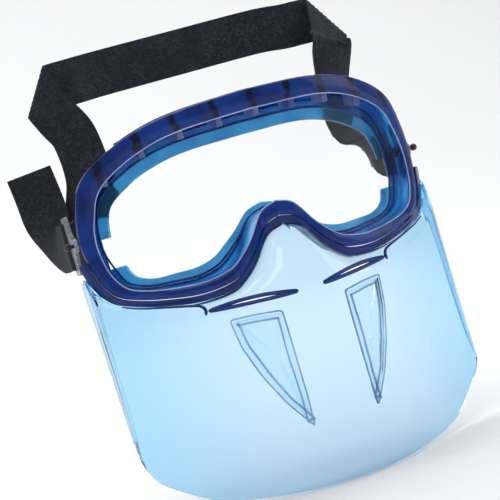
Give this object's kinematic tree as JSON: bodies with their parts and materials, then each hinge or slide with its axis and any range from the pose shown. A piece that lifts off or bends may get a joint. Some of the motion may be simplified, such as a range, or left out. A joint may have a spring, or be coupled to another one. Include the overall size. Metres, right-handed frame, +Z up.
{
  "type": "face shield",
  "caption": "Chemical splash goggle with a curved clear lens, soft blue frame, clip-on clear chin shield and elastic headband.",
  "frame": {"origin": "midway between the two side studs, level with them, in the plane of the bezel's widest points", "axes": "-Y is the front of the mask, +Y points to the wearer's head, +Z is up, X runs across the face"},
  "size_m": [0.2153, 0.1304, 0.2506],
  "materials": {
    "frame_blue": "soft translucent cobalt blue moulding, glossy",
    "lens_clear": "clear polycarbonate, polished",
    "shield_tint": "pale blue transparent polycarbonate, polished",
    "grip_blue": "deep blue translucent moulding",
    "clip_grey": "milky grey translucent moulding",
    "stud_black": "black moulded",
    "elastic": "black mottled woven elastic"
  },
  "bodies": {
    "goggle": {"goggle_frame": "frame_blue", "lens": "lens_clear", "vent_cover": "frame_blue", "stud_left": "stud_black", "stud_right": "stud_black"},
    "chin_guard": {"chin_shield": "shield_tint", "shield_grip": "grip_blue"},
    "headband": {"clip_left": "clip_grey", "clip_right": "clip_grey", "headband_back": "elastic", "headband_side_left": "elastic", "headband_side_right": "elastic", "strap_loop_left": "elastic", "strap_loop_right": "elastic", "strap_tail_left": "elastic", "strap_return_right": "elastic"}
  },
  "joints": [
    {"name": "headband_swing", "type": "hinge", "parent": "goggle", "child": "headband", "pos_m": [0, 0.0075, 0], "axis": [1, 0, 0], "range_deg": [-25, 25]},
    {"name": "chin_guard_pull", "type": "slide", "parent": "goggle", "child": "chin_guard", "axis": [0, 0, -1], "range_m": [0, 0.08]}
  ]
}
